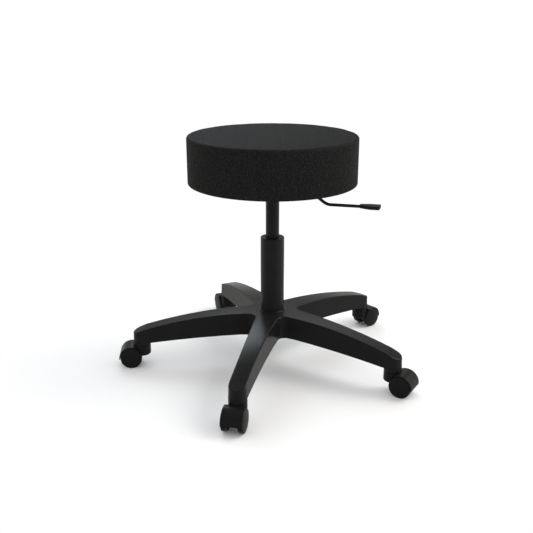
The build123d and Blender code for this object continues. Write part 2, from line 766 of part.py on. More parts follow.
def seat_top_panel():
    """Round top panel, turned down at the rim to the seam."""
    seam_z = SEAT_TOP - TOP_PANEL_DROP
    return cover_shell() & ring(0, SEAT_R + OVERCUT, seam_z, SEAT_TOP + OVERCUT)


def seat_side_band():
    """Side band, turned under the board."""
    seam_z = SEAT_TOP - TOP_PANEL_DROP
    return cover_shell() & ring(0, SEAT_R + OVERCUT, SEAT_Z - OVERCUT, seam_z)


def dust_cover():
    """Thin cloth under the board, stepped over the band's turned edge."""
    step = SEAT_R - BAND_TURN_UNDER
    outer = SEAT_R - DUST_MARGIN
    cloth = turned(
        (0, BOARD_Z - DUST_T),
        (step - DUST_T, BOARD_Z - DUST_T),
        (step - DUST_T, SEAT_Z - DUST_T),
        (outer, SEAT_Z - DUST_T),
        (outer, SEAT_Z),
        (step, SEAT_Z),
        (step, BOARD_Z),
        (0, BOARD_Z),
    )
    for place in bolt_places():
        cloth -= place * ring(0, BOLT_R, SEAT_Z - 2 * OVERCUT, BOARD_Z + OVERCUT)
    return cloth


# ---- casters, drawn about the stem axis with +X outward ----

def caster_stem():
    """Steel stem, with a neck near the top for its split ring."""
    top = BOSS_Z + STEM_IN_BOSS
    ring_top = top - GRIP_RING_FROM_TOP
    ring_low = ring_top - GRIP_RING_T
    return turned(
        (0, COLLAR_TOP - STEM_LOWER_LENGTH),
        (STEM_LOWER_R, COLLAR_TOP - STEM_LOWER_LENGTH),
        (STEM_LOWER_R, BOSS_Z - STEM_FLANGE_T),
        (STEM_FLANGE_R, BOSS_Z - STEM_FLANGE_T),
        (STEM_FLANGE_R, BOSS_Z),
        (STEM_R, BOSS_Z),
        (STEM_R, ring_low),
        (STEM_NECK_R, ring_low),
        (STEM_NECK_R, ring_top),
        (STEM_R, ring_top),
        (STEM_R, top - STEM_CHAMFER),
        (STEM_R - STEM_CHAMFER, top),
        (0, top),
    )


def grip_ring():
    """Split ring that holds the stem in its socket."""
    top = BOSS_Z + STEM_IN_BOSS - GRIP_RING_FROM_TOP
    low = top - GRIP_RING_T
    whole = ring(STEM_NECK_R, STEM_R + SOCKET_CLEAR, low, top)
    split = GRIP_RING_SPLIT / 2
    return whole - block(0, STEM_R + OVERCUT, -split, split, low - OVERCUT, top + OVERCUT)


def sector(inner, outer, low_angle, high_angle, half):
    """Part of a ring about the wheel axis, across the housing."""
    steps = 6
    reach = outer / cos(radians((high_angle - low_angle) / steps / 2)) + OVERCUT
    corners = [(0, 0)]
    for step in range(steps + 1):
        angle = radians(low_angle + (high_angle - low_angle) * step / steps)
        corners.append((reach * cos(angle), reach * sin(angle)))
    wedge = make_face(Polyline(*corners, close=True))
    shape = wedge & Circle(outer)
    if inner > 0:
        shape -= Circle(inner)
    return Pos(TRAIL, 0, AXLE_Z) * extrude(Plane.XZ * shape, amount=half, both=True)


def caster_housing():
    """Swivel collar, hood over the wheels and web between them."""
    low = COLLAR_TOP - COLLAR_LENGTH
    collar = ring(0, BOSS_R, low, COLLAR_TOP)
    rims = collar.edges().filter_by(GeomType.CIRCLE).group_by(Axis.Z)
    collar = fillet(rims[0], COLLAR_EDGE_R)
    hood = sector(HOOD_IN, HOOD_OUT, HOOD_LOW_ANGLE, HOOD_HIGH_ANGLE, HOOD_HALF)
    rounds = hood.edges().filter_by(GeomType.CIRCLE)
    outer_edges = [e for e in rounds if e.radius > HOOD_IN + NEAR]
    hood = fillet(outer_edges, HOOD_T / 3)
    under_boss = ring(0, BOSS_R + CASTER_GAP, COLLAR_TOP, COLLAR_TOP + 2 * HOOD_OUT)
    web = sector(0, HOOD_IN + HOOD_T / 2, WEB_LOW_ANGLE, HOOD_HIGH_ANGLE, WEB_HALF)
    web += rod_along_y(WEB_R, TRAIL, AXLE_Z, WEB_HALF)
    wheels = rod_along_y(HOOD_IN, TRAIL, AXLE_Z, 2 * HOOD_HALF)
    wheels -= rod_along_y(HOOD_IN + OVERCUT, TRAIL, AXLE_Z, WEB_HALF)
    body = collar - wheels
    body += web
    body += hood
    body -= under_boss
    stem_end = COLLAR_TOP - STEM_LOWER_LENGTH - STEM_FLOOR
    body -= ring(0, STEM_LOWER_R + RUNNING, stem_end, COLLAR_TOP + OVERCUT)
    return body - rod_along_y(AXLE_R, TRAIL, AXLE_Z, 2 * WEB_HALF)


def caster_axle():
    """Plain pin, pressed into the web."""
    return rod_along_y(AXLE_R, TRAIL, AXLE_Z, AXLE_HALF)


def caster_wheel(side):
    """One wheel, on the side of +Y or -Y: rim, domed disc, hub and spokes."""
    bore = AXLE_R + RUNNING
    disc_in = WHEEL_OUTER - WHEEL_DISC
    rim_in = WHEEL_R - WHEEL_RIM
    dome_top = WHEEL_OUTER + WHEEL_DOME
    dome = TangentArc((WHEEL_FLAT_R, dome_top), (WHEEL_R, WHEEL_OUTER), tangent=(1, 0))
    rest = Polyline(
        (WHEEL_FLAT_R, dome_top),
        (0, dome_top),
        (0, disc_in),
        (bore, disc_in),
        (bore, WHEEL_INNER),
        (WHEEL_HUB_R, WHEEL_INNER),
        (WHEEL_HUB_R, disc_in),
        (rim_in, disc_in),
        (rim_in, WHEEL_INNER),
        (WHEEL_R, WHEEL_INNER),
        (WHEEL_R, WHEEL_OUTER),
    )
    outline = make_face(Curve() + [dome, rest])
    rims = [v for v in outline.vertices() if v.X > WHEEL_R - NEAR]
    outline = fillet(rims, WHEEL_EDGE_R)
    wheel = revolve(outline, Axis.Y)
    for step in range(WHEEL_SPOKES):
        spoke = block(WHEEL_HUB_R - SINK, rim_in + SINK, WHEEL_INNER + SPOKE_SET_IN, disc_in + SINK,
                      -SPOKE_T / 2, SPOKE_T / 2)
        wheel += Rot(Y=360.0 * step / WHEEL_SPOKES) * spoke
    if side < 0:
        wheel = mirror(wheel, Plane.XZ)
    return Pos(TRAIL, 0, AXLE_Z) * wheel


# ---- write every node ----

def main():
    """Build and save the stool."""
    os.makedirs("parts", exist_ok=True)
    singles = [
        star_base, hub_ring, column_tube, guide_bush, column_foot, thrust_washer_lower,
        thrust_washer_upper, ball_cage, bearing_balls, piston_rod, piston_head, retaining_clip,
        bump_stop, gas_cylinder, rod_guide, rod_seal, pressure_tube, valve_body, release_button,
        taper_socket, mounting_plate, mechanism_channel, lever_pivot_pin, lever_rod,
        lever_fulcrum, lever_grip, plate_bolts, plate_washers, tee_nuts, seat_board, seat_foam,
        seat_top_panel, seat_side_band, dust_cover,
    ]
    for make in singles:
        save(make.__name__, make())
    numbers = range(1, ARM_COUNT + 1)
    save("stem_grip_rings", Compound(children=[at_stem(number, grip_ring()) for number in numbers]))
    for number in numbers:
        save(f"caster_stem_{number}", at_stem(number, caster_stem()))
        save(f"caster_{number}_housing", at_stem(number, caster_housing()))
        save(f"caster_{number}_axle", at_stem(number, caster_axle()))
        save(f"caster_{number}_wheel_left", at_stem(number, caster_wheel(1)))
        save(f"caster_{number}_wheel_right", at_stem(number, caster_wheel(-1)))


main()
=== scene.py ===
"""Looks of an adjustable swivel stool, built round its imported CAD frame.

Every length is in metres. +Z is up, the floor is z = 0, arm 1 points along -Y
and the height lever along +X.
"""

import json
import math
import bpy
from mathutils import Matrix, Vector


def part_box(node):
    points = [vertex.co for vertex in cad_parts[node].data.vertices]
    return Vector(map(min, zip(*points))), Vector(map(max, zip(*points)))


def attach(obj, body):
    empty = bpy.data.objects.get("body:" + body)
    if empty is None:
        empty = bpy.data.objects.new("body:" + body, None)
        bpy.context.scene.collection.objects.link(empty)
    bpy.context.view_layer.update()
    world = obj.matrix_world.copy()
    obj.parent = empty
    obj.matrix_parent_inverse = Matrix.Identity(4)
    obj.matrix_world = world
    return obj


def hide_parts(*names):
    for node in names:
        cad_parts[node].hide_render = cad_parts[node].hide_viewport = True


bl_info = {
    "name": "Swivel stool",
    "version": (1, 0, 0),
    "blender": (4, 5, 0),
    "location": "3D View > Sidebar > Stool",
    "description": "Padded swivel stool with a gas lift and a five-arm caster base",
    "category": "Add Mesh",
}

import bpy
import numpy as np
from bpy.props import FloatProperty, FloatVectorProperty, IntProperty, PointerProperty

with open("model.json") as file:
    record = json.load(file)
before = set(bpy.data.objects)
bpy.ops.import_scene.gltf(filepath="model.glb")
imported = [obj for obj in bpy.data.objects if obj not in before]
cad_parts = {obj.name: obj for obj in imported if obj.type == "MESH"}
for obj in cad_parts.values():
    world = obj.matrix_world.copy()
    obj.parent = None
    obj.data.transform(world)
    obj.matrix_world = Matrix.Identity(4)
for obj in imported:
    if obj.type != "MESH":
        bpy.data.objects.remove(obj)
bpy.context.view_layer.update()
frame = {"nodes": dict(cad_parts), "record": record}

TAU = 2 * math.pi


def node_box(node):
    """Lowest and highest corner of a CAD node, as arrays."""
    low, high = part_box(node)
    return np.array(low), np.array(high)


# ---- sizes read from the frame ----

TOP_LOW, TOP_HIGH = node_box("seat_top_panel")
BAND_LOW, BAND_HIGH = node_box("seat_side_band")
DUST_LOW, DUST_HIGH = node_box("dust_cover")

SEAT_R = (BAND_HIGH[0] - BAND_LOW[0]) / 2
SEAT_TOP = TOP_HIGH[2]
SEAT_SEAM = TOP_LOW[2]
SEAT_LOW = BAND_LOW[2]
BOARD_LOW = DUST_HIGH[2]
DUST_R = (DUST_HIGH[0] - DUST_LOW[0]) / 2


# ---- sizes of the upholstery ----

HEM_R = SEAT_R - 0.037          # inner edge of the cover turned under the board
HEM_FOLD = 0.0016               # rise of the cushion's hidden underside above the board's
LOWER_EDGE = 0.0019             # rounding of the cushion's lower edge
HEM_EDGE = 0.0006               # rounding of the hem
PROFILE_STEP = 0.0042           # longest run of the cushion's outline
CUSHION_COLUMNS = 420
NEAR = 0.001                    # how near a point of the outline counts as on a face
SEAM_DEPTH = 0.0005
SEAM_WIDTH = 0.0007
GATHER_WAVES = (23, 31, 44, 57)
GATHER_DEPTH = 0.00028
GATHER_LIFT = 1.2               # keeps the sum of the waves mostly above zero
GATHER_FADE = 0.03              # width over which the gathers grow from the edge inward

SWELL_COLUMNS = 96
SWELL_ROW_STEP = 3              # every third point of the outline is simulated
SWELL_FRAMES = 20
PINNED_RISE = 0.004             # the cover is held up to here above its underside

CLOTH_T = 0.0004
CLOTH_GAP = 0.0003              # middle of the cloth below what it lies on
CLOTH_STEP = 0.005              # width over which the cloth steps down onto the hem
CLOTH_SAG = 0.0009
SAG_INNER_R = 0.112             # the sag starts outside the mounting plate
SAG_OUTER_R = HEM_R - 0.004
RIM_DROP = (0.0007, 0.0003)     # hang of the rim between staples, and its unevenness
RIM_DRAW = (0.0011, 0.0004)     # the same for how far the rim draws in

STAPLE_HALF = 0.0052            # half the length of a staple's back
STAPLE_LEG = 0.0026
STAPLE_BEND = 0.0007
STAPLE_HALF_W = 0.0006
STAPLE_HALF_T = 0.00025
STAPLE_INSET = 0.0055           # from the cloth's rim
STAPLE_DROP = 0.0009            # middle of the staple's back below the hem


# ---- settings that a user would change ----

class StoolSeatSettings(bpy.types.PropertyGroup):
    """Sizes and colour of the cushion."""

    leather_colour: FloatVectorProperty(
        name="Leatherette", description="Colour of the cover", subtype="COLOR", size=3,
        default=(0.0172, 0.0170, 0.0165), min=0, max=1)
    edge_radius: FloatProperty(
        name="Edge radius", description="Rounding of the cushion's upper edge", unit="LENGTH",
        default=0.0052, min=0.002, max=0.02)
    crown: FloatProperty(
        name="Crown", description="Rise of the cushion's middle above its rim", unit="LENGTH",
        default=0.0004, min=0, max=0.006)
    grain_pitch: FloatProperty(
        name="Grain pitch", description="Distance between the pebbles of the grain", unit="LENGTH",
        default=0.0028, min=0.0005, max=0.01)
    swell_cap: FloatProperty(
        name="Swell cap", description="How far the stuffing may push the cover", unit="LENGTH",
        default=0.0014, min=0, max=0.01)
    staples: IntProperty(
        name="Staples", description="Staples round the dust cover", default=36, min=8, max=90)


class StoolFrameSettings(bpy.types.PropertyGroup):
    """Colours of the base, column and casters."""

    nylon_colour: FloatVectorProperty(
        name="Base nylon", description="Colour of the five-arm base", subtype="COLOR", size=3,
        default=(0.0108, 0.0108, 0.0106), min=0, max=1)
    caster_colour: FloatVectorProperty(
        name="Caster nylon", description="Colour of the caster housings and wheels", subtype="COLOR",
        size=3, default=(0.0092, 0.0092, 0.0092), min=0, max=1)
    coat_colour: FloatVectorProperty(
        name="Black coat", description="Colour of the painted steel", subtype="COLOR", size=3,
        default=(0.0105, 0.0105, 0.0105), min=0, max=1)


class StoolStageSettings(bpy.types.PropertyGroup):
    """Camera and light."""

    camera_azimuth: FloatProperty(
        name="Camera azimuth", description="Direction of the camera round the stool", subtype="ANGLE",
        default=math.radians(12.9))
    camera_distance: FloatProperty(
        name="Camera distance", description="Level distance from the column", unit="LENGTH",
        default=1.528, min=0.5, max=6)
    camera_height: FloatProperty(
        name="Camera height", description="Height of the lens above the floor", unit="LENGTH",
        default=0.7476, min=0.05, max=3)
    camera_pitch: FloatProperty(
        name="Camera pitch", description="How far the camera looks down", subtype="ANGLE",
        default=math.radians(18.94))
    camera_turn: FloatProperty(
        name="Camera turn", description="Turn of the camera to its left", subtype="ANGLE",
        default=math.radians(0.48))
    lens: FloatProperty(
        name="Lens", description="Focal length in millimetres", default=49.84, min=10, max=200)
    key_power: FloatProperty(
        name="Key light", description="Power of the soft box on the right, in watts",
        default=26.0, min=0, max=500)
    rear_power: FloatProperty(
        name="Rear light", description="Power of the soft box over the back, in watts",
        default=12.0, min=0, max=500)
    dome_light: FloatProperty(
        name="Dome", description="Even light from all round", default=1.0, min=0, max=5)
    box_light: FloatProperty(
        name="Gloss panel", description="Brightness of the panel that shows in the gloss",
        default=1.2, min=0, max=5)
    floor_radius: FloatProperty(
        name="Floor radius", description="Where the floor has faded into the background", unit="LENGTH",
        default=0.62, min=0.3, max=5)


# ---- mesh helpers ----

def quads(rows, columns):
    """Faces of a grid of rows by columns points that closes round its columns, row by row."""
    row, column = np.meshgrid(np.arange(rows - 1), np.arange(columns), indexing="ij")
    next_row = row + 1
    next_column = (column + 1) % columns
    corners = [row * columns + column, row * columns + next_column,
               next_row * columns + next_column, next_row * columns + column]
    return np.stack([c.ravel() for c in corners], axis=1)


def fan(centre, ring, flip=False):
    """Triangles from one point to a closed ring of points, against the ring's order if flipped."""
    after = np.roll(ring, -1)
    middle = np.full(len(ring), centre)
    order = [middle, after, ring] if flip else [middle, ring, after]
    return np.stack(order, axis=1)


def add_piece(name, points, faces, finish, sharp_angle=None):
    """A smooth-shaded object from arrays of points in metres, with edges sharper than an angle kept."""
    mesh = bpy.data.meshes.new(name)
    mesh.from_pydata(np.asarray(points, dtype=float), [], [tuple(f) for f in faces])
    mesh.polygons.foreach_set("use_smooth", np.ones(len(mesh.polygons), dtype=bool))
    if sharp_angle is not None:
        mesh.set_sharp_from_angle(angle=sharp_angle)
    mesh.materials.append(finish)
    mesh.update()
    piece = bpy.data.objects.new(name, mesh)
    bpy.context.scene.collection.objects.link(piece)
    return piece


def rounded_outline(corners, radii, steps=6):
    """Points of an open outline whose inner corners are arcs.

    At a corner with unit directions a and b to its neighbours and a turn t, the arc of
    radius r starts r * tan(t / 2) along a and its centre lies r / cos(t / 2) along a + b.
    """
    corners = np.asarray(corners, dtype=float)
    count = len(corners)
    out = []
    for i in range(count):
        here = corners[i]
        radius = radii[i]
        if radius <= 0 or i in (0, count - 1):
            out.append(here)
            continue
        before = corners[i - 1] - here
        after = corners[i + 1] - here
        a = before / np.linalg.norm(before)
        b = after / np.linalg.norm(after)
        turn = math.pi - math.acos(np.clip(a @ b, -1, 1))
        reach = radius * math.tan(turn / 2)
        middle = (a + b) / np.linalg.norm(a + b)
        centre = here + middle * radius / math.cos(turn / 2)
        start = here + a * reach - centre
        end = here + b * reach - centre
        cross = start[0] * end[1] - start[1] * end[0]
        sweep = math.copysign(turn, cross)
        angle = np.linspace(0, sweep, steps + 1)
        cos, sin = np.cos(angle), np.sin(angle)
        arc = np.stack([start[0] * cos - start[1] * sin, start[0] * sin + start[1] * cos], axis=1)
        out.extend(centre + arc)
    return np.array(out)


def placed(points, turn=0.0, shift=(0, 0, 0)):
    """Points turned about Z, then moved."""
    cos, sin = math.cos(turn), math.sin(turn)
    matrix = np.array([[cos, sin, 0], [-sin, cos, 0], [0, 0, 1]])
    return points @ matrix + np.asarray(shift)


def make_outward(piece):
    """Turn the faces of a closed piece outward, by the sign of its volume."""
    mesh = piece.data
    mesh.calc_loop_triangles()
    points = np.empty(len(mesh.vertices) * 3)
    mesh.vertices.foreach_get("co", points)
    points = points.reshape(-1, 3)
    corners = np.empty(len(mesh.loop_triangles) * 3, dtype=np.int32)
    mesh.loop_triangles.foreach_get("vertices", corners)
    a, b, c = (points[corners.reshape(-1, 3)[:, k]] for k in range(3))
    if np.einsum("ij,ij->i", a, np.cross(b, c)).sum() < 0:
        mesh.flip_normals()


# ---- material helpers ----

class Finish:
    """A node material with one Principled shader and Object coordinates."""

    def __init__(self, name, colour, roughness, metallic=0.0, specular=0.5):
        self.material = bpy.data.materials.new("stool_" + name)
        self.material.use_nodes = True
        self.material.diffuse_color = (*colour, 1)
        self.tree = self.material.node_tree
        self.shader = self.tree.nodes["Principled BSDF"]
        self.shader.inputs["Base Color"].default_value = (*colour, 1)
        self.shader.inputs["Roughness"].default_value = roughness
        self.shader.inputs["Metallic"].default_value = metallic
        self.shader.inputs["Specular IOR Level"].default_value = specular
        self.colour = colour
        self.place = self.node("ShaderNodeTexCoord").outputs["Object"]

    def node(self, kind, **values):
        """A node with its attributes set."""
        made = self.tree.nodes.new(kind)
        for key, value in values.items():
            setattr(made, key, value)
        return made

    def link(self, out, into):
        """A link between two sockets."""
        self.tree.links.new(out, into)

    def stretched(self, scale):
        """Object coordinates scaled along each axis."""
        mapping = self.node("ShaderNodeMapping")
        mapping.inputs["Scale"].default_value = scale
        self.link(self.place, mapping.inputs["Vector"])
        return mapping.outputs["Vector"]

    def noise(self, pitch, detail=3.0, rough=0.55, place=None):
        """Noise whose blobs are about pitch metres apart."""
        made = self.node("ShaderNodeTexNoise")
        made.inputs["Scale"].default_value = 1.0 / pitch
        made.inputs["Detail"].default_value = detail
        made.inputs["Roughness"].default_value = rough
        self.link(place or self.place, made.inputs["Vector"])
        return made.outputs["Fac"]

    def cells(self, pitch, feature="SMOOTH_F1", smooth=0.6, place=None, randomness=1.0):
        """Voronoi distance with cells about pitch metres apart."""
        made = self.node("ShaderNodeTexVoronoi", feature=feature)
        made.inputs["Scale"].default_value = 1.0 / pitch
        made.inputs["Randomness"].default_value = randomness
        if feature == "SMOOTH_F1":
            made.inputs["Smoothness"].default_value = smooth
        self.link(place or self.place, made.inputs["Vector"])
        return made.outputs["Distance"]

    def span(self, value, low, high, to_low, to_high):
        """value mapped from low..high to to_low..to_high."""
        made = self.node("ShaderNodeMapRange")
        for key, number in zip(("From Min", "From Max", "To Min", "To Max"), (low, high, to_low, to_high)):
            made.inputs[key].default_value = number
        self.link(value, made.inputs["Value"])
        return made.outputs["Result"]

    def math(self, operation, a, b):
        """One Math node on sockets or numbers."""
        made = self.node("ShaderNodeMath", operation=operation)
        for socket, value in zip(made.inputs, (a, b)):
            if isinstance(value, (int, float)):
                socket.default_value = value
            else:
                self.link(value, socket)
        return made.outputs["Value"]

    def tint(self, value, dark, light):
        """Base colour that runs from dark to light times the finish's colour."""
        ramp = self.node("ShaderNodeValToRGB")
        for element, share in zip(ramp.color_ramp.elements, (dark, light)):
            element.color = (*[min(1.0, c * share) for c in self.colour], 1)
        self.link(value, ramp.inputs["Fac"])
        self.link(ramp.outputs["Color"], self.shader.inputs["Base Color"])

    def roughness(self, value, low, high):
        """Roughness that follows a 0..1 value."""
        self.link(self.span(value, 0.25, 0.75, low, high), self.shader.inputs["Roughness"])

    def bump(self, height, depth, strength=1.0):
        """Surface relief of a height in 0..1 times depth metres, on top of earlier relief."""
        made = self.node("ShaderNodeBump")
        made.inputs["Distance"].default_value = depth
        made.inputs["Strength"].default_value = strength
        self.link(height, made.inputs["Height"])
        slot = self.shader.inputs["Normal"]
        if slot.is_linked:
            self.link(slot.links[0].from_socket, made.inputs["Normal"])
        self.link(made.outputs["Normal"], slot)


def moulded(name, colour, roughness, grain=0.0011, specular=0.4):
    """Injection-moulded plastic with a fine eroded texture and soft flow marks."""
    finish = Finish(name, colour, roughness, specular=specular)
    flow = finish.noise(0.045, detail=2.0)
    finish.tint(flow, 0.88, 1.14)
    finish.roughness(flow, roughness - 0.03, roughness + 0.03)
    finish.bump(finish.noise(grain, detail=2.0), 0.00004)
    return finish.material


def powder_coat(name, colour, roughness):
    """Powder-coated steel with orange-peel waviness."""
    finish = Finish(name, colour, roughness, specular=0.45)
    cloud = finish.noise(0.02, detail=2.0)
    finish.tint(cloud, 0.9, 1.12)
    finish.roughness(cloud, roughness - 0.04, roughness + 0.05)
    finish.bump(finish.noise(0.0026, detail=1.0), 0.00005)
    return finish.material


def plated(name, colour, roughness):
    """Plated or ground metal with fine scratches and slight clouding."""
    finish = Finish(name, colour, roughness, metallic=1.0)
    cloud = finish.noise(0.008, detail=3.0)
    finish.tint(cloud, 0.78, 1.05)
    finish.roughness(cloud, roughness - 0.07, roughness + 0.1)
    scratches = finish.noise(0.0015, detail=4.0, place=finish.stretched((1, 1, 9)))
    finish.bump(scratches, 0.00003)
    return finish.material


def leatherette(settings):
    """Black pebble-grained leatherette: pebbles, the creases between them and fine pores, with painted shade
    darkening the creases and a painted highlight lightening the pebble tops.
    """
    finish = Finish("leatherette", settings.leather_colour, 0.5, specular=0.095)
    pitch = settings.grain_pitch
    warp = finish.node("ShaderNodeTexNoise")
    warp.inputs["Scale"].default_value = 0.35 / pitch
    warp.inputs["Detail"].default_value = 2.0
    place = finish.stretched((1, 1, 0.62))
    finish.link(place, warp.inputs["Vector"])
    push = finish.node("ShaderNodeVectorMath", operation="MULTIPLY_ADD")
    finish.link(warp.outputs["Color"], push.inputs[0])
    push.inputs[1].default_value = (pitch * 0.9,) * 3
    finish.link(place, push.inputs[2])
    bent = push.outputs["Vector"]
    pebbles = finish.cells(pitch, smooth=0.35, place=bent)
    small = finish.cells(pitch * 0.55, smooth=0.3, place=bent)
    clumps = finish.noise(pitch * 1.6, detail=2.0)
    fine = finish.math("MULTIPLY", finish.span(small, 0.1, 0.6, 1.0, 0.0), 0.35)
    height = finish.math("ADD", finish.span(pebbles, 0.1, 0.65, 1.0, 0.0), fine)
    height = finish.math("MULTIPLY", height, finish.span(clumps, 0.3, 0.7, 0.55, 1.15))
    # Painted shade and painted highlight: the base colour follows the grain's relief, dark in the creases
    # and light on the pebble tops.
    finish.tint(finish.span(height, 0.2, 1.3, 0, 1), 0.55, 1.45)
    finish.link(finish.span(height, 0.2, 1.3, 0.62, 0.46), finish.shader.inputs["Roughness"])
    finish.bump(height, 0.0011)
    finish.bump(finish.noise(pitch * 0.12, detail=1.0), 0.00002, 0.6)
    return finish.material


def plywood():
    """Birch plywood: grain along X on the faces and layers on the edge."""
    finish = Finish("plywood", (0.55, 0.38, 0.21), 0.6)
    grain = finish.noise(0.004, detail=5.0, place=finish.stretched((0.08, 1, 1)))
    layers = finish.node("ShaderNodeTexWave", wave_type="BANDS", bands_direction="Z")
    layers.inputs["Scale"].default_value = 55.0
    layers.inputs["Distortion"].default_value = 0.6
    finish.link(finish.place, layers.inputs["Vector"])
    layered = finish.math("MULTIPLY", grain, finish.span(layers.outputs["Fac"], 0, 1, 0.75, 1.2))
    finish.tint(layered, 0.55, 1.25)
    finish.bump(grain, 0.0001)
    return finish.material


def foam():
    """Cut foam with open cells, with painted shade darkening the cell hollows."""
    finish = Finish("foam", (0.72, 0.66, 0.48), 0.9)
    cells = finish.cells(0.0012, smooth=0.2)
    # Painted shade: the colour is darker in the cell hollows and lighter on the cell walls, following the
    # relief.
    finish.tint(cells, 0.75, 1.1)
    finish.bump(cells, 0.0004)
    return finish.material


def dust_cloth():
    """Spun-bonded cloth: a grid of bonded dots over loose fibres."""
    finish = Finish("dust_cloth", (0.012, 0.012, 0.0125), 0.85, specular=0.25)
    fibres = finish.noise(0.0016, detail=6.0, rough=0.7)
    dots = finish.cells(0.0022, feature="F1", randomness=0.12)
    height = finish.math("MULTIPLY", fibres, finish.span(dots, 0.12, 0.34, 0.2, 1.0))
    finish.tint(height, 0.7, 1.8)
    finish.bump(height, 0.00025)
    return finish.material


def soft_rubber(name, colour, roughness):
    """Moulded rubber, matt and faintly dusty."""
    finish = Finish(name, colour, roughness, specular=0.3)
    dust = finish.noise(0.006, detail=4.0)
    finish.tint(dust, 0.85, 1.35)
    finish.roughness(dust, roughness - 0.06, roughness + 0.08)
    finish.bump(finish.noise(0.0009, detail=1.0), 0.00004)
    return finish.material


def make_materials(scene):
    """All finishes by the name of the record's slot."""
    seat = scene.stool_seat
    metal = scene.stool_frame
    nylon = tuple(metal.nylon_colour)
    caster = tuple(metal.caster_colour)
    coat = tuple(metal.coat_colour)
    return {
        "leatherette": leatherette(seat),
        "dust_cloth": dust_cloth(),
        "foam": foam(),
        "plywood": plywood(),
        "base_nylon": moulded("base_nylon", nylon, 0.25, specular=0.34),
        "caster_nylon": moulded("caster_nylon", caster, 0.30, grain=0.0008, specular=0.3),
        "wheel_nylon": moulded("wheel_nylon", caster, 0.30, grain=0.0009, specular=0.3),
        "grip_plastic": moulded("grip_plastic", (0.0105, 0.0105, 0.0108), 0.45, grain=0.0007, specular=0.25),
        "bush_plastic": moulded("bush_plastic", (0.014, 0.014, 0.014), 0.42),
        "black_steel": powder_coat("black_steel", coat, 0.34),
        "mechanism_steel": powder_coat("mechanism_steel", (0.011, 0.011, 0.011), 0.4),
        "zinc_steel": plated("zinc_steel", (0.55, 0.54, 0.5), 0.36),
        "bearing_steel": plated("bearing_steel", (0.6, 0.6, 0.6), 0.2),
        "piston_metal": plated("piston_metal", (0.75, 0.75, 0.76), 0.3),
        "brass": plated("brass", (0.72, 0.52, 0.24), 0.28),
        "rubber": soft_rubber("rubber", (0.014, 0.014, 0.014), 0.65),
    }


def material(slot):
    """The finish of a slot, made once."""
    found = bpy.data.materials.get("stool_" + slot)
    if found is None:
        make_materials(bpy.context.scene)
        found = bpy.data.materials["stool_" + slot]
    return found


# ---- cushion ----

def cushion_profile(settings):
    """The cushion's outline, as radius and height, from the top's middle to the underside's.

    The upper and lower edges are arcs, and the cover turns under the board as far as the hem.
    From there the outline goes up into the board and back to the axis, to close the shape.
    """
    close_z = BOARD_LOW + HEM_FOLD
    corners = [(0, SEAT_TOP), (SEAT_R, SEAT_TOP), (SEAT_R, SEAT_LOW), (HEM_R, SEAT_LOW),
               (HEM_R, close_z), (0, close_z)]
    outline = rounded_outline(corners, [0, settings.edge_radius, LOWER_EDGE, HEM_EDGE, 0, 0], steps=9)
    return evenly(outline, PROFILE_STEP)


def evenly(outline, most):
    """The outline with each run divided into the fewest equal parts no longer than most."""
    out = [outline[0]]
    for start, end in zip(outline[:-1], outline[1:]):
        parts = max(1, math.ceil(np.linalg.norm(end - start) / most))
        share = np.arange(1, parts + 1)[:, None] / parts
        out.extend(start + (end - start) * share)
    return np.array(out)


def closed_cover(grid):
    """Points and outward faces of a turned grid whose first and last rows lie on the axis."""
    rows, columns = grid.shape[:2]
    points = np.vstack([grid[0, :1], grid[1:-1].reshape(-1, 3), grid[-1, :1]])
    ring = 1 + np.arange(columns)
    faces = [tuple(f + 1) for f in quads(rows - 2, columns)]
    faces += [tuple(f) for f in fan(0, ring, flip=True)]
    faces += [tuple(f) for f in fan(len(points) - 1, ring + (rows - 3) * columns)]
    return points, [f[::-1] for f in faces]


def swell(grid, settings):
    """How far the stuffing moves each point of a coarse cushion grid, by cloth simulation.

    The cover is pinned along its underside and blown up from inside with gravity off, and
    the moves are scaled so that the largest is the cap.
    """
    rows, columns = grid.shape[:2]
    points, faces = closed_cover(grid)
    piece = add_piece("cover_sim", points, faces, material("leatherette"))
    hem = np.nonzero(points[:, 2] < SEAT_LOW + PINNED_RISE)[0]
    group = piece.vertex_groups.new(name="hem")
    group.add([int(i) for i in hem], 1.0, "REPLACE")
    cloth = piece.modifiers.new("Cover", "CLOTH")
    setting = cloth.settings
    setting.quality = 6
    setting.mass = 0.5
    setting.tension_stiffness = 60
    setting.compression_stiffness = 60
    setting.shear_stiffness = 40
    setting.bending_stiffness = 4
    setting.use_pressure = True
    setting.uniform_pressure_force = 4.0
    setting.vertex_group_mass = "hem"
    setting.effector_weights.gravity = 0.0
    cloth.collision_settings.use_collision = False
    scene = bpy.context.scene
    for step in range(1, SWELL_FRAMES + 1):
        scene.frame_set(step)
    shaped = piece.evaluated_get(bpy.context.evaluated_depsgraph_get())
    moved = np.empty(len(points) * 3)
    shaped.data.vertices.foreach_get("co", moved)
    move = moved.reshape(-1, 3) - points
    scene.frame_set(1)
    bpy.data.objects.remove(piece)
    move *= settings.swell_cap / np.linalg.norm(move, axis=1).max()
    first = np.repeat(move[:1], columns, axis=0)
    last = np.repeat(move[-1:], columns, axis=0)
    return np.vstack([first, move[1:-1], last]).reshape(rows, columns, 3)


def resample(field, rows, columns):
    """A grid of vectors at other rows and columns, by linear steps that wrap round the columns."""
    old_rows, old_columns = field.shape[:2]
    v = np.linspace(0, old_rows - 1, rows)
    u = np.arange(columns) * old_columns / columns
    v0 = np.minimum(v.astype(int), old_rows - 2)
    u0 = u.astype(int)
    dv = (v - v0)[:, None, None]
    du = (u - u0)[None, :, None]
    u1 = (u0 + 1) % old_columns
    upper = field[v0][:, u0] * (1 - du) + field[v0][:, u1] * du
    lower = field[v0 + 1][:, u0] * (1 - du) + field[v0 + 1][:, u1] * du
    return upper * (1 - dv) + lower * dv


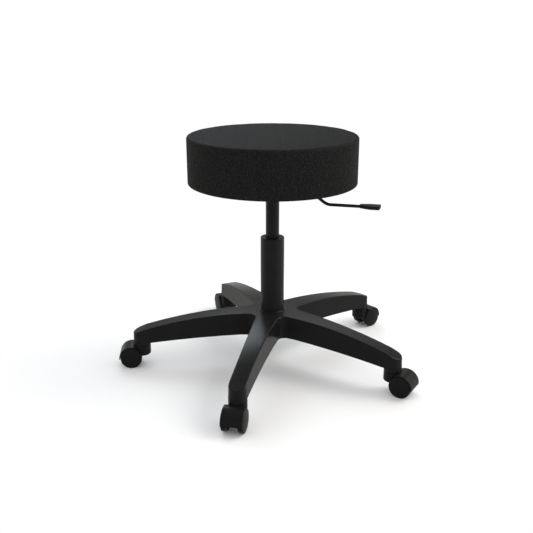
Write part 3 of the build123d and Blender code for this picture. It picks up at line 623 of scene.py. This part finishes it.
def cushion_grid(profile, columns, settings):
    """Points of the cushion: the profile turned about Z, with crown, seam and gathers.

    The crown is rise * (1 - (r / R)^2) and the seam a groove depth * exp(-(d / width)^2) at
    distance d from the seam line. The gathers under the board are a sum of sines that fades
    out towards the edge.
    """
    angle = np.linspace(0, TAU, columns, endpoint=False)
    radius = np.repeat(profile[:, :1], columns, axis=1)
    height = np.repeat(profile[:, 1:], columns, axis=1)
    on_top = height > SEAT_TOP - 1e-6
    height = height + np.where(on_top, settings.crown * (1 - (radius / SEAT_R) ** 2), 0)
    on_side = profile[:, 0] > SEAT_R - NEAR
    seam = np.exp(-((profile[:, 1] - SEAT_SEAM) / SEAM_WIDTH) ** 2) * on_side
    radius = radius - SEAM_DEPTH * seam[:, None]
    rng = np.random.default_rng(11)
    gathers = np.zeros(columns)
    for waves in GATHER_WAVES:
        gathers += np.sin(waves * angle + rng.uniform(0, TAU)) * rng.uniform(0.5, 1.0)
    under = (profile[:, 1] < SEAT_LOW + NEAR) & (profile[:, 0] < SEAT_R - 2 * NEAR)
    share = np.where(under, np.clip((SEAT_R - profile[:, 0]) / GATHER_FADE, 0, 1), 0)
    height = height + GATHER_DEPTH * share[:, None] * (gathers[None, :] + GATHER_LIFT)
    return np.stack([radius * np.cos(angle), radius * np.sin(angle), height], axis=2)


class STOOL_OT_cushion(bpy.types.Operator):
    """Make the cushion: foam and leatherette cover in one padded piece."""

    bl_idname = "stool.cushion"
    bl_label = "Cushion"

    def execute(self, context):
        settings = context.scene.stool_seat
        profile = cushion_profile(settings)
        grid = cushion_grid(profile, CUSHION_COLUMNS, settings)
        coarse = cushion_grid(profile[::SWELL_ROW_STEP], SWELL_COLUMNS, settings)
        move = swell(coarse, settings)
        grid = grid + resample(move, len(profile), CUSHION_COLUMNS)
        points, faces = closed_cover(grid)
        piece = add_piece("seat_cushion", points, faces, material("leatherette"))
        make_outward(piece)
        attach(piece, "seat")
        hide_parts("seat_foam", "seat_top_panel", "seat_side_band")
        return {"FINISHED"}


# ---- dust cover ----

def dust_surface(settings, rings=64, columns=432):
    """Grid of the cloth under the board, from its middle to its rim.

    The height steps from the board down onto the turned cover with smooth(u) = u^2 (3 - 2u), the
    cloth sags by sag * sin(pi v) on the way, and between staples its rim draws in and hangs by
    a share of (1 - cos(n t)) / 2 for n staples.
    """
    inner_rings = np.linspace(0.02, 0.66, rings // 3)
    outer_rings = np.linspace(0.68, 1.0, rings - rings // 3)
    shares = np.concatenate([inner_rings, outer_rings])
    radius = shares[:, None] * DUST_R
    angle = np.linspace(0, TAU, columns, endpoint=False)[None, :]
    u = np.clip((radius - HEM_R + CLOTH_STEP) / CLOTH_STEP, 0, 1)
    height = BOARD_LOW - CLOTH_GAP - (BOARD_LOW - SEAT_LOW) * u * u * (3 - 2 * u)
    v = np.clip((radius - SAG_INNER_R) / (SAG_OUTER_R - SAG_INNER_R), 0, 1)
    height = height - CLOTH_SAG * np.sin(math.pi * v)
    between = (1 - np.cos(settings.staples * angle)) / 2
    outer = np.clip((radius - HEM_R) / (DUST_R - HEM_R), 0, 1)
    rng = np.random.default_rng(5)
    uneven = sum(rng.uniform(0.2, 0.5) * np.sin(k * angle + rng.uniform(0, TAU)) for k in (5, 8, 13))
    height = height - (RIM_DROP[0] + RIM_DROP[1] * uneven) * between * outer ** 2
    radius = radius - (RIM_DRAW[0] + RIM_DRAW[1] * uneven) * between * outer ** 3
    return np.stack([radius * np.cos(angle), radius * np.sin(angle), height + 0 * angle], axis=2)


def staple_points(settings):
    """Wire staples, each a flat strip whose ends are bent up into the board.

    A box section is carried along the strip's outline, with its width across the outline's
    plane and its thickness along the outline's normal.
    """
    path = rounded_outline([(-STAPLE_HALF, STAPLE_LEG), (-STAPLE_HALF, 0), (STAPLE_HALF, 0),
                            (STAPLE_HALF, STAPLE_LEG)], [0, STAPLE_BEND, STAPLE_BEND, 0], steps=4)
    along = np.gradient(path, axis=0)
    along /= np.linalg.norm(along, axis=1, keepdims=True)
    across = np.stack([-along[:, 1], along[:, 0]], axis=1)
    corners = [(-STAPLE_HALF_W, -STAPLE_HALF_T), (STAPLE_HALF_W, -STAPLE_HALF_T),
               (STAPLE_HALF_W, STAPLE_HALF_T), (-STAPLE_HALF_W, STAPLE_HALF_T)]
    sections = []
    for side, rise in corners:
        edge = path + across * rise
        sections.append(np.stack([np.full(len(path), side), edge[:, 0], edge[:, 1]], axis=1))
    one = np.stack(sections, axis=1).reshape(-1, 3)
    shell = [tuple(f) for f in quads(len(path), len(corners))]
    last = len(one) - len(corners)
    shell += [(3, 2, 1, 0), (last, last + 1, last + 2, last + 3)]
    rng = np.random.default_rng(8)
    points, faces = [], []
    for k in range(settings.staples):
        lean = rng.normal(0, 0.06)
        out = DUST_R - STAPLE_INSET + rng.normal(0, 0.0004)
        tilted = placed(one, lean, (out, 0, SEAT_LOW - STAPLE_DROP))
        faces += [tuple(i + k * len(one) for i in f) for f in shell]
        points.append(placed(tilted, TAU * k / settings.staples + rng.normal(0, 0.004)))
    return np.vstack(points), faces


class STOOL_OT_dust_cover(bpy.types.Operator):
    """Make the cloth under the seat board and its staples."""

    bl_idname = "stool.dust_cover"
    bl_label = "Dust cover"

    def execute(self, context):
        settings = context.scene.stool_seat
        grid = dust_surface(settings)
        rows, columns = grid.shape[:2]
        points = np.vstack([[[0, 0, grid[0, 0, 2]]], grid.reshape(-1, 3)])
        faces = [tuple(f + 1) for f in quads(rows, columns)]
        faces += [tuple(f) for f in fan(0, np.arange(1, columns + 1), flip=True)]
        cloth = add_piece("dust_cloth", points, faces, material("dust_cloth"))
        skin = cloth.modifiers.new("Thickness", "SOLIDIFY")
        skin.thickness = CLOTH_T
        skin.offset = 0
        points, faces = staple_points(settings)
        wires = add_piece("dust_cloth_staples", points, faces, material("zinc_steel"), math.radians(40))
        make_outward(wires)
        for piece in (cloth, wires):
            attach(piece, "seat")
        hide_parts("dust_cover")
        return {"FINISHED"}


# ---- stage ----

class STOOL_OT_stage(bpy.types.Operator):
    """Make the floor, the lights and the camera."""

    bl_idname = "stool.stage"
    bl_label = "Stage"

    def execute(self, context):
        settings = context.scene.stool_stage
        context.scene.view_settings.view_transform = "Standard"
        make_camera(context.scene, settings)
        make_floor(settings)
        make_world(context.scene, settings)
        make_lights(settings)
        return {"FINISHED"}


def make_camera(scene, settings):
    """Camera on its azimuth, looking down by its pitch."""
    data = bpy.data.cameras.new("camera")
    data.lens = settings.lens
    data.sensor_width = 36.0
    camera = bpy.data.objects.new("camera", data)
    azimuth = settings.camera_azimuth
    camera.location = (settings.camera_distance * math.sin(azimuth),
                       -settings.camera_distance * math.cos(azimuth), settings.camera_height)
    camera.rotation_euler = (math.pi / 2 - settings.camera_pitch, 0, azimuth + settings.camera_turn)
    scene.collection.objects.link(camera)
    scene.camera = camera


def make_floor(settings):
    """Round pale floor, lit near the column and plain white from the floor radius outward."""
    floor_r = 30.0
    segments = 96
    angle = np.linspace(0, TAU, segments, endpoint=False)
    ring = np.stack([floor_r * np.cos(angle), floor_r * np.sin(angle), np.zeros(segments)], axis=1)
    points = np.vstack([[[0, 0, 0]], ring])
    finish = Finish("floor", (0.9, 0.9, 0.9), 0.8, specular=0.1)
    distance = finish.node("ShaderNodeVectorMath", operation="LENGTH")
    finish.link(finish.place, distance.inputs[0])
    white = finish.node("ShaderNodeEmission")
    white.inputs["Color"].default_value = (1.0, 1.0, 1.0, 1)
    mix = finish.node("ShaderNodeMixShader")
    fade_start = 0.75 * settings.floor_radius
    fade = finish.span(distance.outputs["Value"], fade_start, settings.floor_radius, 0, 1)
    finish.link(fade, mix.inputs["Fac"])
    finish.link(finish.shader.outputs["BSDF"], mix.inputs[1])
    finish.link(white.outputs["Emission"], mix.inputs[2])
    finish.link(mix.outputs["Shader"], finish.tree.nodes["Material Output"].inputs["Surface"])
    floor = add_piece("floor", points, fan(0, np.arange(1, segments + 1)), finish.material)
    floor.visible_glossy = False


def make_world(scene, settings):
    """White behind the stool, an even dome for diffuse light, and a studio of its own for gloss.

    The studio's walls are brightest at the horizon opposite the camera, dimmer above it and below
    it, and dim on the camera's side. A weak panel stands on the right, and a bluish one hangs
    opposite the camera at about 24 to 48 degrees above the horizon.
    """
    world = bpy.data.worlds.new("studio")
    world.use_nodes = True
    tree = world.node_tree
    tree.nodes.clear()

    def made(kind, inputs=(), **values):
        node = tree.nodes.new(kind)
        for key, value in values.items():
            setattr(node, key, value)
        for socket, value in zip(node.inputs, inputs):
            if isinstance(value, bpy.types.NodeSocket):
                tree.links.new(value, socket)
            else:
                socket.default_value = value
        return node

    def combined(operation, a, b):
        return made("ShaderNodeMath", (a, b), operation=operation).outputs[0]

    def ramp(value, low, high, to_low, to_high):
        numbers = (value, low, high, to_low, to_high)
        return made("ShaderNodeMapRange", numbers, interpolation_type="SMOOTHSTEP").outputs[0]

    def towards(level):
        numbers = (direction, (*level, 0))
        return made("ShaderNodeVectorMath", numbers, operation="DOT_PRODUCT").outputs["Value"]

    direction = made("ShaderNodeTexCoord").outputs["Generated"]
    up = made("ShaderNodeSeparateXYZ", (direction,)).outputs["Z"]
    cos, sin = math.cos(settings.camera_azimuth), math.sin(settings.camera_azimuth)
    back = towards((-sin, cos))
    right = towards((cos, sin))

    box = combined("MULTIPLY", ramp(up, 0.40, 0.52, 0, 1), ramp(up, 0.60, 0.74, 1, 0))
    box = combined("MULTIPLY", box, ramp(back, 0.72, 0.92, 0, 1))
    rise = combined("MULTIPLY", ramp(up, -0.7, 0.0, 0.24, 0.58), ramp(up, 0.0, 0.25, 1.0, 0.34))
    walls = combined("MULTIPLY", rise, ramp(back, -0.6, 0.5, 0.2, 1.0))
    side = combined("MULTIPLY", ramp(right, 0.4, 0.75, 0, 0.4), ramp(up, -0.3, 0.2, 0.6, 1))
    walls = combined("MAXIMUM", walls, side)
    gloss = combined("ADD", combined("MULTIPLY", box, settings.box_light), walls)

    rays = made("ShaderNodeLightPath").outputs
    tint = made("ShaderNodeMixRGB", (box, (1.0, 0.985, 0.95, 1), (0.88, 0.95, 1.0, 1))).outputs[0]
    studio = made("ShaderNodeBackground", (tint, gloss)).outputs[0]
    dome = made("ShaderNodeBackground", ((1.0, 1.0, 1.0, 1), settings.dome_light)).outputs[0]
    white = made("ShaderNodeBackground", ((1.0, 1.0, 1.0, 1), 1.0)).outputs[0]
    lit = made("ShaderNodeMixShader", (rays["Is Glossy Ray"], dome, studio)).outputs[0]
    seen = made("ShaderNodeMixShader", (rays["Is Camera Ray"], lit, white)).outputs[0]
    made("ShaderNodeOutputWorld", (seen,))
    scene.world = world


def soft_box(name, power, place, target, size, colour):
    """A rectangular area light aimed at a point."""
    data = bpy.data.lights.new(name, "AREA")
    data.shape = "RECTANGLE"
    data.size, data.size_y = size
    data.energy = power
    data.color = colour
    light = bpy.data.objects.new(name, data)
    aim = np.asarray(target, dtype=float) - np.asarray(place, dtype=float)
    light.location = place
    level = math.hypot(aim[0], aim[1])
    light.rotation_euler = (math.atan2(level, -aim[2]), 0, math.atan2(-aim[0], aim[1]))
    bpy.context.scene.collection.objects.link(light)


def around(settings, azimuth, distance, height):
    """A place seen from the camera's side: azimuth 0 is towards the camera, 90 to its right."""
    turn = settings.camera_azimuth + math.radians(azimuth - 90)
    return (distance * math.cos(turn), distance * math.sin(turn), height)


def make_lights(settings):
    """Warm key from the right and a weaker, bluish lamp over the back left."""
    middle = (0, 0, 0.2)
    key_place = around(settings, 95, 1.8, 1.9)
    rear_place = around(settings, 205, 1.9, 1.9)
    soft_box("key", settings.key_power, key_place, middle, (1.3, 1.3), (1.0, 0.97, 0.93))
    soft_box("rear", settings.rear_power, rear_place, middle, (1.6, 0.9), (0.78, 0.9, 1.0))


# ---- carried-over CAD nodes ----

class STOOL_OT_finishes(bpy.types.Operator):
    """Give every CAD node the finish of its slot."""

    bl_idname = "stool.finishes"
    bl_label = "Finishes"

    def execute(self, context):
        for row in frame["record"]["subparts"]:
            piece = frame["nodes"][row["node"]]
            finish = material(row["material_slot"])
            for slot in piece.material_slots:
                slot.material = finish
        return {"FINISHED"}


# ---- add-on ----

class STOOL_PT_panel(bpy.types.Panel):
    """The stool's steps and settings in the sidebar."""

    bl_label = "Swivel stool"
    bl_idname = "STOOL_PT_panel"
    bl_space_type = "VIEW_3D"
    bl_region_type = "UI"
    bl_category = "Stool"

    def draw(self, context):
        for step in OPERATORS:
            self.layout.operator(step.bl_idname)
        for group in SETTINGS:
            settings = getattr(context.scene, group)
            box = self.layout.box()
            for name in settings.__annotations__:
                box.prop(settings, name)


SETTINGS = {
    "stool_seat": StoolSeatSettings,
    "stool_frame": StoolFrameSettings,
    "stool_stage": StoolStageSettings,
}
OPERATORS = (STOOL_OT_stage, STOOL_OT_finishes, STOOL_OT_cushion, STOOL_OT_dust_cover)


def register():
    """Register the settings, operators and panel."""
    for name, group in SETTINGS.items():
        bpy.utils.register_class(group)
        setattr(bpy.types.Scene, name, PointerProperty(type=group))
    for step in (*OPERATORS, STOOL_PT_panel):
        bpy.utils.register_class(step)


def unregister():
    """Undo register."""
    for step in (STOOL_PT_panel, *reversed(OPERATORS)):
        bpy.utils.unregister_class(step)
    for name, group in SETTINGS.items():
        delattr(bpy.types.Scene, name)
        bpy.utils.unregister_class(group)


def main():
    """Build every piece in order."""
    register()
    for step in OPERATORS:
        group, name = step.bl_idname.split(".")
        getattr(getattr(bpy.ops, group), name)()


if __name__ == "__main__":
    main()
